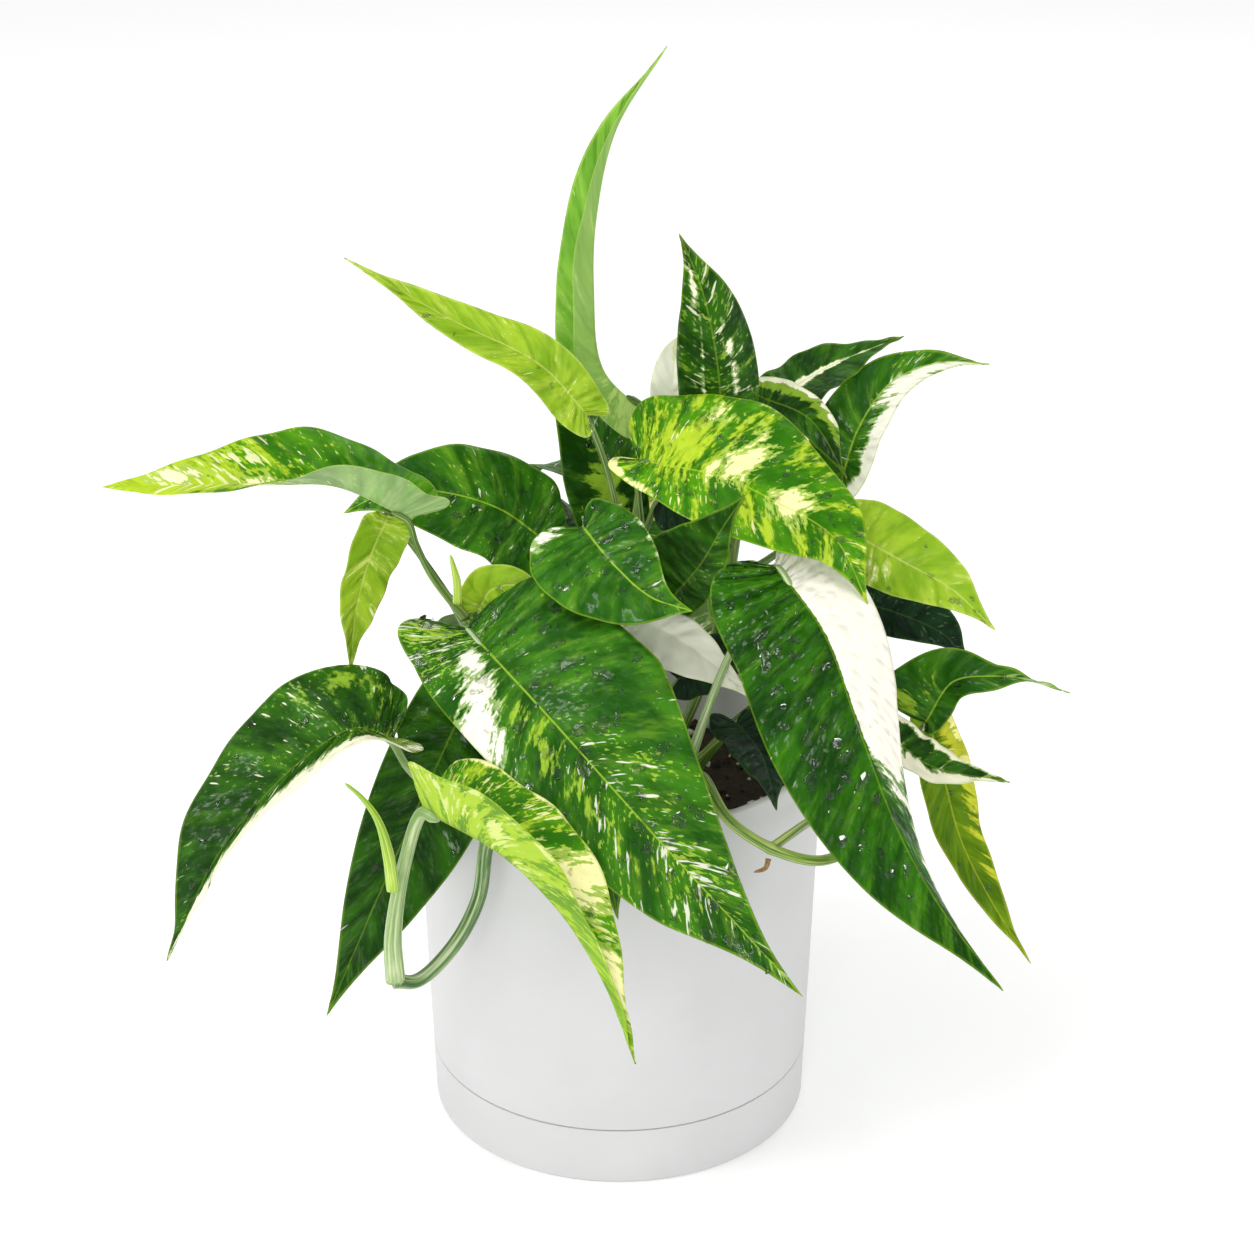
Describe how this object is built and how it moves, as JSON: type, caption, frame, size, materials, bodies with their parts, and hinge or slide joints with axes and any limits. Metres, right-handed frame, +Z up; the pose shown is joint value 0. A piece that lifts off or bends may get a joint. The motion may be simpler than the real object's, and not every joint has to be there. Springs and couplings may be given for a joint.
{
  "type": "potted pothos plant",
  "caption": "bushy pothos with heart-shaped green, lime and cream variegated leaves on arching stems, in a plain white round tapered planter with a matching attached drip saucer",
  "frame": {"origin": "centre of the saucer's underside, on the surface it stands on", "axes": "+Z up, the front of the plant towards -Y, +X to the viewer's right"},
  "size_m": [0.3322, 0.2673, 0.4032],
  "materials": {
    "white_plastic": "matte moulded",
    "soil": "moist crumbly potting mix",
    "leaf_dark": "glossy wet leaf, dark green with pale flecks",
    "leaf_marbled": "glossy wet leaf, green marbled with yellow-green and cream",
    "leaf_lime": "satin young leaf, lime green",
    "leaf_cream": "satin leaf, mostly cream with green streaks",
    "stem_green": "satin green stem with pale stripes",
    "root_brown": "dry matte root"
  },
  "bodies": {
    "root": {"air_root": "root_brown", "drip_saucer": "white_plastic", "leaf_back_right_banded": "leaf_dark", "leaf_back_right_dark": "leaf_dark", "leaf_back_right_edged": "leaf_marbled", "leaf_behind_centre": "leaf_marbled", "leaf_behind_high_left": "leaf_dark", "leaf_behind_high_right": "leaf_marbled", "leaf_behind_left": "leaf_dark", "leaf_behind_low": "leaf_lime", "leaf_behind_near_left": "leaf_dark", "leaf_behind_near_right": "leaf_dark", "leaf_behind_right": "leaf_marbled", "leaf_behind_side": "leaf_lime", "leaf_behind_upper": "leaf_marbled", "leaf_centre_cream": "leaf_cream", "leaf_centre_heart": "leaf_dark", "leaf_centre_raised": "leaf_dark", "leaf_centre_shaded": "leaf_dark", "leaf_centre_tall": "leaf_dark", "leaf_front_folded": "leaf_lime", "leaf_front_large": "leaf_marbled", "leaf_inner_front": "leaf_dark", "leaf_inner_grey": "leaf_dark", "leaf_inner_left": "leaf_dark", "leaf_inner_rim": "leaf_dark", "leaf_left_dark": "leaf_dark", "leaf_left_hanging": "leaf_lime", "leaf_left_long": "leaf_marbled", "leaf_left_low": "leaf_marbled", "leaf_left_middle": "leaf_dark", "leaf_left_small": "leaf_lime", "leaf_right_folded": "leaf_marbled", "leaf_right_hanging": "leaf_marbled", "leaf_right_large": "leaf_dark", "leaf_right_lime": "leaf_lime", "leaf_right_marbled": "leaf_marbled", "leaf_right_shaded": "leaf_dark", "leaf_right_small": "leaf_cream", "leaf_top_upright": "leaf_lime", "leaf_upper_cone": "leaf_marbled", "leaf_upper_cream": "leaf_cream", "leaf_upper_left": "leaf_lime", "planter_pot": "white_plastic", "potting_soil": "soil", "shoot_left": "leaf_lime", "shoot_small": "leaf_lime", "vine_back": "stem_green", "vine_back_right": "stem_green", "vine_centre": "stem_green", "vine_front_left": "stem_green", "vine_front_right": "stem_green", "vine_left": "stem_green", "vine_right": "stem_green"}
  },
  "joints": []
}
